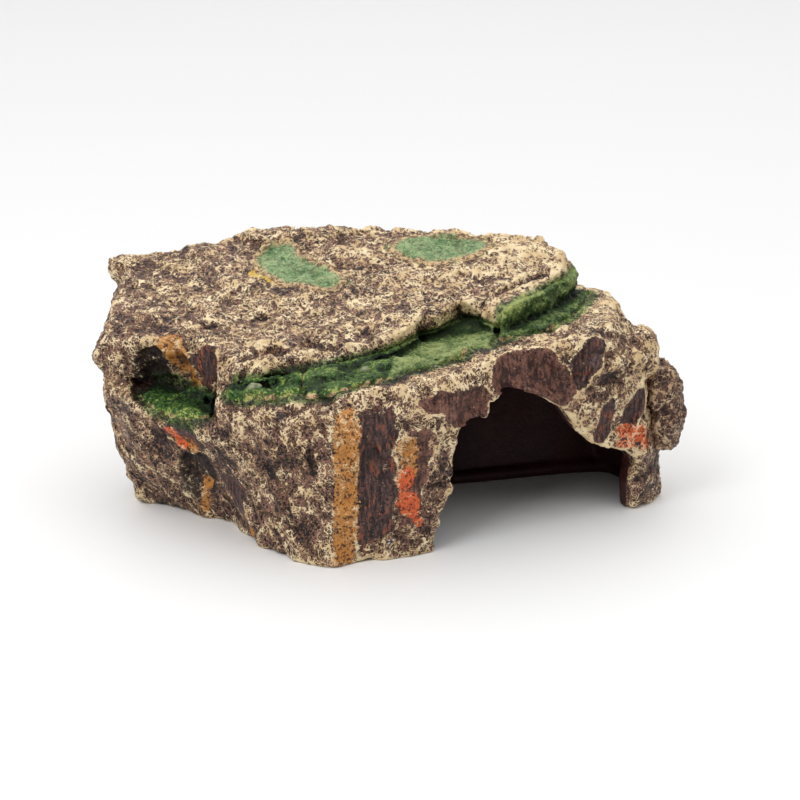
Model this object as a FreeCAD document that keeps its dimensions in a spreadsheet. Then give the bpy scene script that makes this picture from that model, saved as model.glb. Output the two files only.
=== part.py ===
"""Resin cave ornament: a hollow rock hide for a terrarium, open below, with one arched mouth.

A ring of rock walls carries a sloping roof slab. The slab is bonded on the walls' flat bed, and the
joint is dressed with moss pads and two pebbles. A loose-looking boulder is bonded to the right end.

Frame: +X along the length, towards the boulder; -Y towards the front; +Z up. The origin is on the
floor under the middle of the bounding box. Units are millimetres and degrees.
"""

import FreeCAD, Part
import Sketcher

import math
import os
import sys

Vector, Rotation, Placement = FreeCAD.Vector, FreeCAD.Rotation, FreeCAD.Placement

# The outlines below are drawn for a rock of this length and depth, and stretch with the sheet's.
DRAWN_LENGTH, DRAWN_DEPTH = 270, 152
SHEET = "Sizes"

SIZES = [
    ("length", 270, "overall, left tip of the roof to the boulder"),
    ("depth", 152, "overall, foot of the front pillar to the back of the roof"),
    ("lip_height", 28, "underside of the lip that overhangs the left foot"),
    ("edge_height", 68, "outer edge of the terrace, above the origin"),
    ("edge_tilt", 4.6, "rise of that edge towards +X"),
    ("bed_height", 78, "flat bed that the roof slab is bonded on, above the origin"),
    ("bed_tilt", 7.4, "rise of the bed towards +X"),
    ("belt_height", 87.2, "widest line round the slab, above the origin"),
    ("belt_tilt", 10.7, "rise of that line towards the back right"),
    ("roof_height", 96, "top of the slab, above the origin"),
    ("roof_tilt", 16, "rise of the roof towards the back"),
    ("wall", 8, "thickness of resin over the cavity"),
    ("mouth_width", 100, "between the jambs"),
    ("mouth_height", 69, "crown of the arch above the floor"),
    ("mouth_turn", 27.5, "turn of the mouth's face from the X axis"),
    ("mouth_cut", 78, "length of the cut that opens the mouth"),
    ("niche_floor", 61.5, "ledge at the left of the front, carried back over the origin"),
    ("niche_tilt", 14, "fall of that ledge towards the front"),
    ("niche_cut", 40, "height of the cut that opens the ledge"),
    ("moss_thick", 3.5, "moss laid on the bed and the ledge"),
    ("riser_height", 12, "moss banked up against the slab's right-hand edge"),
    ("film_thick", 1.2, "thin moss in the hollows of the roof"),
    ("pebble_radius", 3.4, "larger pebble, half its length"),
    ("boulder_foot", 27, "underside of the boulder"),
    ("boulder_height", 40, "boulder, foot to crown"),
]

# Axes that the tilted levels turn about, each across its own line of greatest rise.
LEVEL = (1, 0, 0)
RISES_RIGHT = (0, -1, 0)
RISES_BACK_RIGHT = (0.89, -0.46, 0)
RISES_BACK = (0.98, -0.21, 0)


def make_sheet(doc):
    sheet = doc.addObject("Spreadsheet::Sheet", SHEET)
    for row, (alias, value, meaning) in enumerate(SIZES, start=1):
        sheet.set(f"A{row}", alias)
        sheet.set(f"B{row}", str(value))
        sheet.set(f"C{row}", meaning)
        sheet.setAlias(f"B{row}", alias)
    doc.recompute()
    return sheet


def origin_plane(body, role):
    return next(f for f in body.Origin.OriginFeatures if f.Role == role)


def sketch_at(body, name, height, tilt=None, axis=LEVEL):
    """A sketch over the floor plane: height and tilt are expressions on the sheet."""
    sketch = body.newObject("Sketcher::SketchObject", name)
    sketch.AttachmentSupport = [(origin_plane(body, "XY_Plane"), "")]
    sketch.MapMode = "FlatFace"
    sketch.AttachmentOffset = Placement(Vector(0, 0, 0), Rotation(Vector(*axis), 1))
    sketch.setExpression("AttachmentOffset.Base.z", height)
    sketch.setExpression("AttachmentOffset.Rotation.Angle", tilt or "0")
    return sketch


def add_loop(sketch, points):
    """Closed loop of straight edges. Returns the index of its first edge."""
    first = sketch.GeometryCount
    corners = [Vector(x, y, 0) for x, y in points]
    for start, end in zip(corners, corners[1:] + corners[:1]):
        sketch.addGeometry(Part.LineSegment(start, end))
    count = len(corners)
    for i in range(count):
        joint = Sketcher.Constraint("Coincident", first + i, 2, first + (i + 1) % count, 1)
        sketch.addConstraint(joint)
    return first


def place_corner(sketch, edge, kind, value, expression):
    """Ties one coordinate of an edge's start to the sheet, measured from the sketch's origin."""
    index = sketch.addConstraint(Sketcher.Constraint(kind, -1, 1, edge, 1, value))
    sketch.setExpression(f"Constraints[{index}]", expression)


def draw_outline(sketch, points, lean=None):
    """Plan outline in drawn millimetres; lean is the tilt that foreshortens its Y in plan."""
    spread = f" / cos({lean} * 1deg)" if lean else ""
    first = add_loop(sketch, points)
    for i, (x, y) in enumerate(points):
        across = f"{SHEET}.length * {x} / {DRAWN_LENGTH}"
        along = f"{SHEET}.depth * {y} / {DRAWN_DEPTH}{spread}"
        place_corner(sketch, first + i, "DistanceX", x, across)
        place_corner(sketch, first + i, "DistanceY", y, along)


def loft(body, kind, name, sketches):
    """Ruled loft through the sketches, which all have the same number of corners."""
    feature = body.newObject(f"PartDesign::{kind}", name)
    feature.Profile = sketches[0]
    feature.Sections = sketches[1:]
    feature.Ruled = True
    for sketch in sketches:
        sketch.Visibility = False
    return feature


def cell(alias, more=""):
    return f"{SHEET}.{alias}{more}"


def tilt(alias, more=""):
    return f"{SHEET}.{alias} * 1deg{more}"


def new_body(doc, label):
    body = doc.addObject("PartDesign::Body", label)
    body.Label = label
    return body


def checked_cut(doc, feature, before):
    """A cut that misses the solid raises no error, so the volume has to fall."""
    doc.recompute()
    after = feature.Shape.Volume
    if not after < before - 1:
        raise RuntimeError(f"{feature.Name} cut nothing")
    return after


# --- Walls -------------------------------------------------------------------------------------
# Outlines run from the left end along the front to the right, and home along the back.
WALL_FOOT = [
    (-119, 4), (-104, -7), (-86, -18), (-72, -24), (-61, -50), (-42, -69), (-25, -76), (-3, -67),
    (16, -60), (36, -50), (62, -36), (82, -26), (98, -20), (117, -8), (127, 8), (121, 36),
    (103, 50), (38, 36), (-30, 38), (-90, 44), (-116, 28),
]
WALL_LIP = [
    (-127, -2), (-116, -16), (-94, -26), (-76, -38), (-64, -52), (-43, -69), (-24, -76), (-2, -69),
    (17, -61), (36, -50), (62, -37), (82, -28), (97, -21), (116, -11), (125, 4), (120, 36),
    (98, 54), (40, 44), (-30, 46), (-94, 48), (-124, 28),
]
WALL_EDGE = [
    (-132, -6), (-119, -22), (-101, -34), (-82, -46), (-67, -58), (-43, -69), (-21, -73), (2, -70),
    (21, -64), (44, -49), (62, -40), (84, -34), (99, -29), (112, -16), (113, 8), (109, 38),
    (92, 60), (38, 62), (-32, 66), (-102, 60), (-130, 34),
]
WALL_BED = [
    (-131, -10), (-118, -18), (-100, -26), (-80, -34), (-66, -53), (-43, -62), (-20, -66), (3, -66),
    (21, -60), (44, -45), (62, -34), (84, -28), (95, -22), (100, -10), (102, 10), (103, 38),
    (88, 60), (36, 67), (-32, 71), (-103, 60), (-127, 40),
]
# The cavity keeps at least one wall thickness inside those.
CAVITY_FOOT = [
    (-110, 6), (-85, -8), (-66, -16), (-53, -44), (-38, -60), (-22, -67), (10, -55), (44, -37),
    (88, -14), (109, 0), (117, 10), (112, 30), (101, 41), (38, 27), (-30, 30), (-86, 35),
    (-108, 22),
]
CAVITY_LIP = [
    (-117, 2), (-90, -17), (-70, -27), (-55, -46), (-38, -60), (-22, -66), (12, -54), (44, -37),
    (88, -15), (108, -3), (116, 8), (111, 32), (94, 45), (38, 35), (-30, 38), (-90, 40), (-115, 24),
]
CAVITY_TOP = [
    (-117, 2), (-96, -3), (-74, -12), (-59, -38), (-38, -50), (-20, -55), (12, -52), (42, -36),
    (82, -19), (93, -10), (95, 8), (95, 32), (82, 50), (36, 54), (-31, 58), (-94, 50), (-116, 32),
]
# Hole in the bed, under the slab: the slab's hollow starts with the same outline.
BED_HOLE = [
    (-113, 4), (-96, -3), (-73, -9), (-60, -32), (-30, -28), (-10, -20), (10, 14), (44, 24),
    (66, 24), (73, 38), (68, 48), (35, 56), (-32, 60), (-92, 49), (-112, 32),
]
# Mouth, seen from in front: share of its width from the left jamb, share of its height.
MOUTH = [
    (-0.01, -0.03), (-0.02, 0.15), (0.0, 0.24), (0.03, 0.34), (0.06, 0.48), (0.06, 0.63),
    (0.06, 0.81), (0.17, 0.86), (0.22, 0.85), (0.24, 0.95), (0.28, 0.99), (0.34, 1.0), (0.42, 0.98),
    (0.49, 0.94), (0.6, 0.82), (0.66, 0.69), (0.7, 0.63), (0.76, 0.56), (0.82, 0.52), (0.9, 0.48),
    (0.96, 0.43), (1.0, 0.38), (0.98, 0.19), (1.0, -0.03),
]
MOUTH_LEFT = (21, -57)  # foot of the left jamb
MOUTH_START = 40  # how far in front of the jambs the cut begins
NICHE = [
    (-116, -64), (-77, -64), (-77, -24), (-92, -13), (-104, -7), (-116, -2),
]


def draw_mouth(body):
    """Arch on a vertical plane through the jambs, turned from the front by mouth_turn."""
    sketch = body.newObject("Sketcher::SketchObject", "mouth_arch")
    sketch.AttachmentSupport = [(origin_plane(body, "XZ_Plane"), "")]
    sketch.MapMode = "FlatFace"
    turn = math.radians(dict((a, v) for a, v, _ in SIZES)["mouth_turn"])
    x = MOUTH_LEFT[0] + MOUTH_START * math.sin(turn)
    y = MOUTH_LEFT[1] - MOUTH_START * math.cos(turn)
    sketch.AttachmentOffset = Placement(Vector(x, 0, -y), Rotation(Vector(0, 1, 0), 1))
    sketch.setExpression("AttachmentOffset.Rotation.Angle", tilt("mouth_turn"))
    first = add_loop(sketch, [(100 * u, 69 * v) for u, v in MOUTH])
    for i, (u, v) in enumerate(MOUTH):
        place_corner(sketch, first + i, "DistanceX", 100 * u, cell("mouth_width", f" * {u}"))
        place_corner(sketch, first + i, "DistanceY", 69 * v, cell("mouth_height", f" * {v}"))
    return sketch


def pocket(body, name, sketch, length, towards_normal=False):
    feature = body.newObject("PartDesign::Pocket", name)
    feature.Profile = sketch
    feature.setExpression("Length", length)
    feature.Reversed = towards_normal
    sketch.Visibility = False
    return feature


def make_walls(doc):
    body = new_body(doc, "wall_shell")
    foot = sketch_at(body, "wall_foot", "0")
    lip = sketch_at(body, "wall_lip", cell("lip_height"))
    edge = sketch_at(body, "wall_edge", cell("edge_height"), tilt("edge_tilt"), RISES_RIGHT)
    bed = sketch_at(body, "wall_bed", cell("bed_height"), tilt("bed_tilt"), RISES_RIGHT)
    for sketch, points in ((foot, WALL_FOOT), (lip, WALL_LIP), (edge, WALL_EDGE), (bed, WALL_BED)):
        draw_outline(sketch, points)
    outer = loft(body, "AdditiveLoft", "outer_rock", [foot, lip, edge, bed])
    doc.recompute()
    left = outer.Shape.Volume

    inner_foot = sketch_at(body, "cavity_foot", "0")
    inner_lip = sketch_at(body, "cavity_lip", cell("lip_height"))
    inner_top = sketch_at(
        body, "cavity_top", cell("bed_height", f" - {SHEET}.wall"), tilt("bed_tilt"), RISES_RIGHT
    )
    for sketch, points in (
        (inner_foot, CAVITY_FOOT),
        (inner_lip, CAVITY_LIP),
        (inner_top, CAVITY_TOP),
    ):
        draw_outline(sketch, points)
    cavity = loft(body, "SubtractiveLoft", "cavity", [inner_foot, inner_lip, inner_top])
    left = checked_cut(doc, cavity, left)

    hole = sketch_at(body, "bed_hole", cell("bed_height", " + 1"), tilt("bed_tilt"), RISES_RIGHT)
    draw_outline(hole, BED_HOLE)
    opened = pocket(body, "bed_opening", hole, cell("wall", " + 2"))
    left = checked_cut(doc, opened, left)

    arch = pocket(body, "mouth", draw_mouth(body), cell("mouth_cut"))
    left = checked_cut(doc, arch, left)

    ledge = sketch_at(body, "niche_plan", cell("niche_floor"), tilt("niche_tilt"))
    draw_outline(ledge, NICHE)
    niche = pocket(body, "niche", ledge, cell("niche_cut"), towards_normal=True)
    checked_cut(doc, niche, left)
    return body


# --- Roof slab ---------------------------------------------------------------------------------
SLAB_UNDER = [
    (-131, -11), (-114, -12), (-100, -14), (-84, -19), (-72, -38), (-60, -45), (-46, -42),
    (-27, -38), (-9, -33), (4, -18), (13, 2), (25, 8), (35, 14), (42, 12), (50, 4), (60, 3),
    (70, 11), (80, 28), (84, 42), (80, 56), (36, 67), (-32, 71), (-70, 66), (-102, 58), (-127, 46), (-129, 20),
]
SLAB_BELT = [
    (-135.6, -16), (-117, -17), (-101, -19), (-85, -24), (-73, -38), (-60, -45), (-46, -43),
    (-27, -38), (-9, -32), (4, -24), (12, -12), (22, -8), (30, 3), (39, -3), (48, -13), (58, -2),
    (71, 10), (83, 27), (86, 40), (80, 54), (35, 68), (-28, 77), (-72, 73), (-107, 66), (-134, 56),
    (-132, 22),
]
SLAB_TOP = [
    (-131, -14), (-117, -19), (-102, -18), (-86, -22), (-73, -34), (-60, -41), (-46, -40),
    (-27, -33), (-9, -30), (4, -24), (13, -12), (22, -10), (29, 1), (39, -6), (47, -15), (58, -3),
    (71, 11), (81, 27), (80, 40), (69, 50), (34, 62), (-24, 71), (-70, 68), (-102, 61), (-126, 53),
    (-125, 26),
]
HOLLOW_TOP = [
    (-106, 9), (-90, 5), (-66, -1), (-54, -24), (-30, -22), (-12, -12), (10, 14), (40, 24),
    (60, 28), (66, 36), (62, 44), (34, 50), (-30, 53), (-86, 46), (-106, 30),
]


def make_slab(doc):
    body = new_body(doc, "roof_slab")
    under = sketch_at(body, "slab_under", cell("bed_height"), tilt("bed_tilt"), RISES_RIGHT)
    belt = sketch_at(body, "slab_belt", cell("belt_height"), tilt("belt_tilt"), RISES_BACK_RIGHT)
    top = sketch_at(body, "slab_top", cell("roof_height"), tilt("roof_tilt"), RISES_BACK)
    draw_outline(under, SLAB_UNDER)
    draw_outline(belt, SLAB_BELT)
    draw_outline(top, SLAB_TOP, lean=cell("roof_tilt"))
    slab = loft(body, "AdditiveLoft", "slab", [under, belt, top])
    doc.recompute()
    volume = slab.Shape.Volume

    mouth = sketch_at(body, "hollow_rim", cell("bed_height"), tilt("bed_tilt"), RISES_RIGHT)
    crown = sketch_at(
        body, "hollow_top", cell("roof_height", f" - {SHEET}.wall"), tilt("roof_tilt"), RISES_BACK
    )
    draw_outline(mouth, BED_HOLE)
    draw_outline(crown, HOLLOW_TOP, lean=cell("roof_tilt"))
    hollow = loft(body, "SubtractiveLoft", "hollow", [mouth, crown])
    checked_cut(doc, hollow, volume)
    return body


# --- Boulder, moss and pebbles -----------------------------------------------------------------
# Share of the boulder's height, and its outline there.
BOULDER = [
    (0.0, [(122, -6), (128, -7), (132, 0), (130, 10), (124, 14), (118, 4)]),
    (0.4, [(120, -11), (129, -12), (135, -2), (133, 12), (124, 18), (114, 6)]),
    (0.75, [(118, -10), (127, -11), (134, 0), (131, 12), (122, 16), (113, 4)]),
    (1.0, [(116, -5), (123, -6), (128, 1), (126, 9), (118, 12), (110, 4)]),
]
# Moss that lies on the bed. Each runs under the slab's edge and is trimmed by it, so that it
# fills the corner.
BED_MOSS = [
    ("crevice_moss_left",
     [(-72, -42), (-70, -52), (-60, -56), (-50, -59), (-39, -61), (-39, -38), (-58, -42)]),
    ("crevice_moss_centre",
     [(-37, -62), (-26, -64), (-16, -62), (-4, -57), (1, -36), (5, -16), (-8, -26), (-37, -38)]),
    ("terrace_moss",
     [(-2, -56), (3, -49), (16, -43), (30, -37), (43, -29), (46, -12), (46, 9), (36, 16),
      (24, 9), (11, 2), (6, -14), (2, -36)]),
]
# The riser's moss is wide on the bed, and banks up against the slab.
RISER_LOW = [(48, -20), (60, -16), (73, -6), (86, 11), (94, 36), (84, 46), (76, 20), (56, 2)]
RISER_HIGH = [(48, -17), (59, -6), (72, 6), (80, 17), (88, 32), (82, 42), (74, 20), (54, 2)]
LEDGE_MOSS = [
    (-113, -15), (-108, -23), (-98, -33), (-86, -39), (-79, -38), (-79, -24), (-92, -14),
    (-105, -8),
]
# Thin moss in the hollows of the roof, on the roof's own plane.
ROOF_MOSS = [
    ("roof_moss_left",
     [(-66, 43), (-61, 55), (-46, 58), (-44, 46), (-29, 32), (-20, 19), (-28, 15), (-46, 20),
      (-60, 31)]),
    ("roof_moss_right",
     [(-2, 50), (8, 57), (24, 58), (42, 54), (48, 47), (41, 37), (27, 32), (13, 33), (4, 41)]),
]
# Middle of each pebble in plan, and its size as a share of pebble_radius.
PEBBLES = [("crevice_pebble_left", (-59, -49), 1.0), ("crevice_pebble_centre", (-11, -44), 0.85)]
PEBBLE_LIFT = 2.2  # middle of a pebble above the bed


def make_boulder(doc, walls):
    blank = new_body(doc, "boulder_blank")
    sketches = []
    for share, points in BOULDER:
        height = f"{SHEET}.boulder_foot + {SHEET}.boulder_height * {share}"
        sketch = sketch_at(blank, f"boulder_{int(share * 100)}", height)
        draw_outline(sketch, points)
        sketches.append(sketch)
    loft(blank, "AdditiveLoft", "boulder_loft", sketches)
    return trimmed(doc, "side_boulder", blank, [walls])


def trimmed(doc, label, blank, tools):
    """The blank less each tool in turn, so that their faces meet. The last cut has the label."""
    base = blank
    for i, tool in enumerate(tools):
        cut = doc.addObject("Part::Cut", f"{label}_cut{i}")
        cut.Base = base
        cut.Tool = tool
        base = cut
    doc.recompute()
    base.Label = label
    return base


def moss_pad(doc, label, height, angle, axis, points, thickness, lean=None):
    body = new_body(doc, f"{label}_blank")
    sketch = sketch_at(body, f"{label}_plan", height, angle, axis)
    draw_outline(sketch, points, lean)
    pad = body.newObject("PartDesign::Pad", f"{label}_pad")
    pad.Profile = sketch
    pad.setExpression("Length", thickness)
    sketch.Visibility = False
    return body


def bed_z(x):
    """Height of the bed at an X, from the sheet's nominal values."""
    sizes = dict((a, v) for a, v, _ in SIZES)
    return sizes["bed_height"] + x * math.tan(math.radians(sizes["bed_tilt"]))


def make_pebble(doc, label, spot, share):
    pebble = doc.addObject("Part::Ellipsoid", label)
    pebble.Label = label
    pebble.setExpression("Radius2", cell("pebble_radius", f" * {share}"))
    pebble.setExpression("Radius3", cell("pebble_radius", f" * {share * 0.8}"))
    pebble.setExpression("Radius1", cell("pebble_radius", f" * {share * 0.6}"))
    pebble.Placement = Placement(
        Vector(spot[0], spot[1], bed_z(spot[0]) + PEBBLE_LIFT), Rotation(Vector(0, 0, 1), 25)
    )
    return pebble


def make_riser(doc):
    body = new_body(doc, "riser_blank")
    low = sketch_at(body, "riser_low", cell("bed_height"), tilt("bed_tilt"), RISES_RIGHT)
    high = sketch_at(
        body, "riser_high", cell("bed_height", f" + {SHEET}.riser_height"), tilt("bed_tilt"),
        RISES_RIGHT,
    )
    draw_outline(low, RISER_LOW)
    draw_outline(high, RISER_HIGH)
    loft(body, "AdditiveLoft", "riser_loft", [low, high])
    return body


def make_moss(doc, walls, slab, pebbles):
    pads = []
    for label, points in BED_MOSS:
        blank = moss_pad(
            doc, label, cell("bed_height"), tilt("bed_tilt"), RISES_RIGHT, points,
            cell("moss_thick"),
        )
        bedded = [p for p, home in pebbles if home == label]
        pads.append(trimmed(doc, label, blank, [walls, slab, *bedded]))
    pads.append(trimmed(doc, "riser_moss", make_riser(doc), [walls, slab]))
    ledge = moss_pad(
        doc, "ledge_moss", cell("niche_floor"), tilt("niche_tilt"), LEVEL, LEDGE_MOSS,
        cell("moss_thick"),
    )
    pads.append(trimmed(doc, "ledge_moss", ledge, [walls, slab]))
    for label, points in ROOF_MOSS:
        film = moss_pad(
            doc, label, cell("roof_height"), tilt("roof_tilt"), RISES_BACK, points,
            cell("film_thick"), lean=cell("roof_tilt"),
        )
        film.Label = label
        pads.append(film)
    return pads


# --- Document ----------------------------------------------------------------------------------
def check(doc, parts):
    """Stops before anything is written if an object failed or a part isn't closed and sound."""
    failed = [o.Label for o in doc.Objects if {"Invalid", "Error"} & set(o.State)]
    if failed:
        raise RuntimeError(f"failed objects: {failed}")
    for part in parts:
        shape = part.Shape
        if shape.isNull() or not shape.isValid() or not shape.Solids:
            raise RuntimeError(f"{part.Label} has no valid solid")


def main():
    doc = FreeCAD.newDocument("cave")
    make_sheet(doc)
    walls = make_walls(doc)
    slab = make_slab(doc)
    boulder = make_boulder(doc, walls)
    pebbles = [(make_pebble(doc, *row), row[0].replace("pebble", "moss")) for row in PEBBLES]
    moss = make_moss(doc, walls, slab, pebbles)
    doc.recompute()

    parts = [walls, slab, boulder, *moss, *(p for p, _ in pebbles)]
    check(doc, parts)
    os.makedirs("parts", exist_ok=True)
    for part in parts:
        part.Shape.exportStep(f"parts/{part.Label}.step")
        box = part.Shape.optimalBoundingBox(False, False)
        low, high = (box.XMin, box.YMin, box.ZMin), (box.XMax, box.YMax, box.ZMax)
        spans = "  ".join(f"{a:7.1f} to {b:6.1f}" for a, b in zip(low, high))
        print(f"{part.Label:24s} {part.Shape.Volume / 1000:8.2f} cm3  {spans}")


main()
sys.stdout.flush()
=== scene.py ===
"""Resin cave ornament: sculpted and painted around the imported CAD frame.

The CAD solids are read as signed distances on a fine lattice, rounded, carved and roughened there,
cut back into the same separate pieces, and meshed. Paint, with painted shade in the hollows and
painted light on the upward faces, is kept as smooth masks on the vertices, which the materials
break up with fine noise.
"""

import math
from itertools import product

import bpy
import numpy as np
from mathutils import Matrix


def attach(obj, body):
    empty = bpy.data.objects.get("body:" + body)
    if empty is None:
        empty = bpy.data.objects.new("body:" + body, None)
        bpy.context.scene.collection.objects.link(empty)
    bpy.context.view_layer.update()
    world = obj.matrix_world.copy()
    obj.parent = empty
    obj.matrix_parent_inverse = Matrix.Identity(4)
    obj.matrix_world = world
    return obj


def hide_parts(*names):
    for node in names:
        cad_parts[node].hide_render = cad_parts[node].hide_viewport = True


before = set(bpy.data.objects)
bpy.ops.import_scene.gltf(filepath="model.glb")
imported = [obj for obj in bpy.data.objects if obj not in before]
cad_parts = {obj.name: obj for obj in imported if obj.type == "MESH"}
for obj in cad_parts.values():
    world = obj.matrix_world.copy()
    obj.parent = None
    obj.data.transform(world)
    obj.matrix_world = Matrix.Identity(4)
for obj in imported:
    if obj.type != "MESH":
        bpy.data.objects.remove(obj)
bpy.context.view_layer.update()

import openvdb as vdb
from mathutils import Vector
from mathutils.geometry import delaunay_2d_cdt

F32 = np.float32

# --- Lattice ---
# All sculpting is in millimetres.
STEP = 0.72  # of the two castings' lattice
STONE_STEP = 0.55
SKIN_STEP = 0.42
PEBBLE_STEP = 0.25
LOW = np.array([-141.0, -82.0, -5.0])
HIGH = np.array([141.0, 82.0, 122.0])
BAND = 9.0  # mm either side of a surface where distances are kept
EDGE_ROUNDING = 1.0  # mm
NEAR, WIDE = 0.8, 4.2  # mm, over which crests and hollows are told
DEEP = 2.2  # mm of hollow that gets the darkest painted shade

CORNERS = list(product((0, 1), repeat=3))
NEIGHBOURS = list(product((-1, 0, 1), repeat=3))


def mm(v):
    return np.asarray(v, F32)


def corner_share(f, corner):
    """Share of a unit cell's corner at places f in the cell."""
    x, y, z = (f[:, i] if corner[i] else 1 - f[:, i] for i in range(3))
    return x * y * z


def mesh_arrays(mesh):
    """Vertices and triangles of a mesh."""
    mesh.calc_loop_triangles()
    points = np.empty(len(mesh.vertices) * 3, F32)
    mesh.vertices.foreach_get("co", points)
    faces = np.empty(len(mesh.loop_triangles) * 3, np.int32)
    mesh.loop_triangles.foreach_get("vertices", faces)
    return points.reshape(-1, 3), faces.reshape(-1, 3).astype(np.int64)


def node_mesh(name):
    """Vertices in mm and triangles of a CAD node."""
    points, faces = mesh_arrays(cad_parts[name].data)
    return points * 1000, faces.astype(np.uint32)


class Field:
    """A signed distance, negative inside, sampled on a box of lattice points."""

    def __init__(self, low, high, step):
        self.low = np.asarray(low, float)
        self.step = step
        self.shape = tuple(int(math.ceil((b - a) / step)) + 1 for a, b in zip(low, high))

    def transform(self):
        s, (x, y, z) = self.step, self.low
        return vdb.createLinearTransform([[s, 0, 0, 0], [0, s, 0, 0], [0, 0, s, 0], [x, y, z, 1]])

    def from_node(self, name, band=BAND):
        points, faces = node_mesh(name)
        grid = vdb.FloatGrid.createLevelSetFromPolygons(
            points, triangles=faces, transform=self.transform(), halfWidth=band / self.step
        )
        out = np.empty(self.shape, F32)
        grid.copyToArray(out)
        return out

    def axes(self):
        return [
            (self.low[i] + self.step * np.arange(self.shape[i])).astype(F32) for i in range(3)
        ]

    def window(self, centre, reach):
        """Slices of the lattice within reach of a centre, and their coordinates."""
        slices, coords = [], []
        for i, axis in enumerate(self.axes()):
            a = int(np.clip(np.searchsorted(axis, centre[i] - reach[i]), 0, len(axis) - 1))
            b = int(np.clip(np.searchsorted(axis, centre[i] + reach[i]), a + 1, len(axis)))
            slices.append(slice(a, b))
            coords.append(axis[a:b])
        return tuple(slices), np.meshgrid(*coords, indexing="ij", sparse=True)

    def points(self, index):
        i, j, k = np.unravel_index(index, self.shape)
        ax = self.axes()
        return np.stack([ax[0][i], ax[1][j], ax[2][k]], 1)

    def sample(self, values, points):
        """Trilinear."""
        g = (points - self.low.astype(F32)) / F32(self.step)
        g = np.clip(g, 0, np.array(self.shape, F32) - 1.001)
        i = g.astype(np.int32)
        f = g - i
        flat = values.reshape(-1)
        _, ny, nz = self.shape
        base = (i[:, 0] * ny + i[:, 1]) * nz + i[:, 2]
        out = np.zeros(len(points), F32)
        for dx, dy, dz in CORNERS:
            out += corner_share(f, (dx, dy, dz)) * flat[base + (dx * ny + dy) * nz + dz]
        return out

    def mesh(self, values):
        """Points and triangles of the surface where the values are nought."""
        grid = vdb.FloatGrid(BAND)
        grid.copyFromArray(np.ascontiguousarray(values))
        grid.transform = self.transform()
        points, quads = grid.convertToQuads(0.0)
        faces = np.concatenate([quads[:, [0, 1, 2]], quads[:, [0, 2, 3]]])
        return points.astype(F32), faces[:, ::-1].astype(np.int64)


def blurred(a, passes, radius=1):
    """Repeated box blur, which tends to a Gaussian."""
    out = a
    for _ in range(passes):
        for axis in range(3):
            padded = np.take(out, [0] * radius, axis)
            tail = np.take(out, [-1] * radius, axis)
            wide = np.concatenate([padded, out, tail], axis)
            n = out.shape[axis]
            total = np.zeros_like(out)
            for k in range(2 * radius + 1):
                cut = [slice(None)] * 3
                cut[axis] = slice(k, k + n)
                total += wide[tuple(cut)]
            out = total / F32(2 * radius + 1)
    return out


def softened(a, reach):
    """Blurred on the main lattice over about a reach in mm."""
    return blurred(a, 2, max(1, round(reach / STEP)))


# --- Noise ---
_rng = np.random.default_rng(71)
_PERM = _rng.permutation(256).astype(np.int32)
_GRAD = _rng.normal(size=(256, 3)).astype(F32)
_GRAD /= np.linalg.norm(_GRAD, axis=1, keepdims=True)
_JITTER = _rng.random((256, 3)).astype(F32)


def _cell(p, size):
    """The cell that each point is in, and its place there."""
    q = p / F32(size)
    i = np.floor(q).astype(np.int32)
    return i, (q - i).astype(F32)


def _hash(i, step, seed):
    """A number from 0 to 255 for the cell that is a step away."""
    h = _PERM[(i[:, 0] + step[0] + seed) & 255]
    h = _PERM[(h + i[:, 1] + step[1]) & 255]
    return _PERM[(h + i[:, 2] + step[2]) & 255]


def noise(p, size, seed=0):
    """Gradient noise of a feature size in mm, about -1 to 1."""
    i, f = _cell(p, size)
    u = f * f * f * (f * (f * 6 - 15) + 10)
    total = np.zeros(len(p), F32)
    for corner in CORNERS:
        g = _GRAD[_hash(i, corner, seed)]
        x, y, z = (g[:, k] * (f[:, k] - corner[k]) for k in range(3))
        total += corner_share(u, corner) * (x + y + z)
    return total * F32(1.7)


def fbm(p, size, octaves, seed=0, gain=0.5):
    """Noise with finer and weaker noise on top."""
    total, amp = np.zeros(len(p), F32), 1.0
    for k in range(octaves):
        total += F32(amp) * noise(p, size / 2**k, seed + 17 * k)
        amp *= gain
    return total


def ridged(p, size, octaves, seed=0, gain=0.55):
    """Sharp crests near 1, broad hollows near 0."""
    total, amp, norm = np.zeros(len(p), F32), 1.0, 0.0
    for k in range(octaves):
        total += F32(amp) * (1 - np.abs(noise(p, size / 2**k, seed + 13 * k)))
        norm += amp
        amp *= gain
    return total / F32(norm)


def warped(p, size, reach, seed=0):
    """Points shifted by noise, by up to about a reach in mm."""
    return p + F32(reach) * np.stack([noise(p, size, seed + s) for s in (3, 41, 87)], 1)


def cells(p, size, seed=0):
    """Distance to the nearest and second nearest cell centre, in cells."""
    i, f = _cell(p, size)
    best = np.full(len(p), 9, F32)
    second = np.full(len(p), 9, F32)
    for step in NEIGHBOURS:
        j = _JITTER[_hash(i, step, seed)]
        x, y, z = ((j[:, k] + step[k] - f[:, k]) ** 2 for k in range(3))
        d = x + y + z
        second = np.minimum(second, np.maximum(best, d))
        best = np.minimum(best, d)
    return np.sqrt(best), np.sqrt(second)


def smooth(a, b, x):
    t = np.clip((x - a) / (b - a), 0, 1)
    return t * t * (3 - 2 * t)


# --- Sculpting tools ---
def unit(v):
    v = np.asarray(v, float)
    return v / np.linalg.norm(v)


def facet_axes(normal, along):
    """Rows: along the facet, across it, and out of it."""
    n = unit(normal)
    a = np.asarray(along, float)
    a = unit(a - n * (a @ n))
    return np.stack([a, np.cross(n, a), n])


def smin(a, b, k):
    """The smaller, with the change rounded over k mm."""
    h = np.clip(0.5 + 0.5 * (b - a) / k, 0, 1)
    return b + (a - b) * h - k * h * (1 - h)


def smax(a, b, k):
    return -smin(-a, -b, k)


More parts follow.
